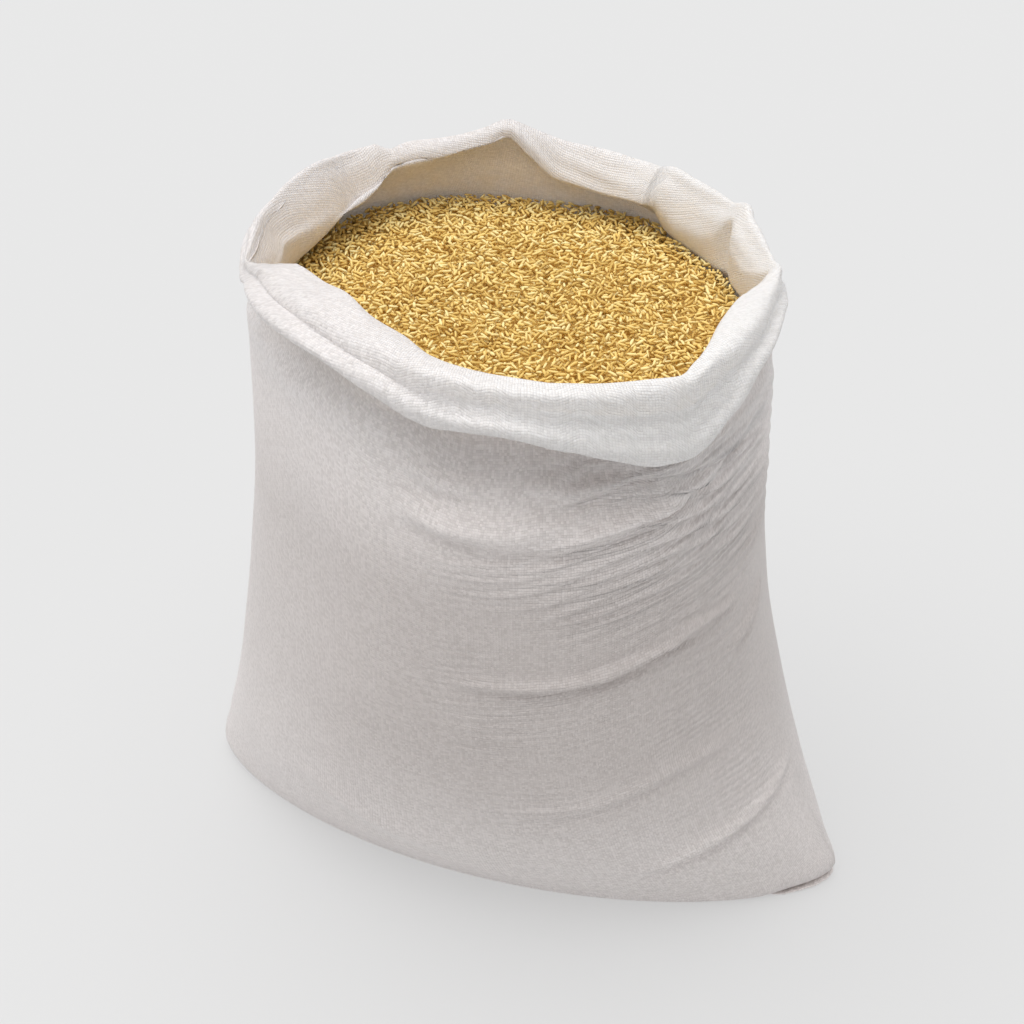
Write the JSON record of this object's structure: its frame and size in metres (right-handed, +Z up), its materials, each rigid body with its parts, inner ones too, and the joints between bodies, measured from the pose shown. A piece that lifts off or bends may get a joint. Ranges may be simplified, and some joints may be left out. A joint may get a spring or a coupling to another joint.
{
  "type": "cat litter bag",
  "caption": "Open woven polypropylene sack standing full of granular cat litter, with a sewn bottom and its mouth rolled outwards into a soft cuff.",
  "frame": {"origin": "on the floor, under the middle of the sack's footprint box", "axes": "+Z up, X along the bottom seam from ear to ear, -Y the front where the rolled cuff hangs lowest"},
  "size_m": [0.464, 0.3346, 0.4705],
  "materials": {
    "woven_polypropylene": "white woven tape cloth with a faint sheen",
    "litter_granules": "matt golden granules",
    "sewing_thread": "off-white spun thread"
  },
  "bodies": {
    "root": {"woven_sack": "woven_polypropylene", "litter_fill": "litter_granules", "bottom_seam_thread": "sewing_thread"}
  },
  "joints": []
}
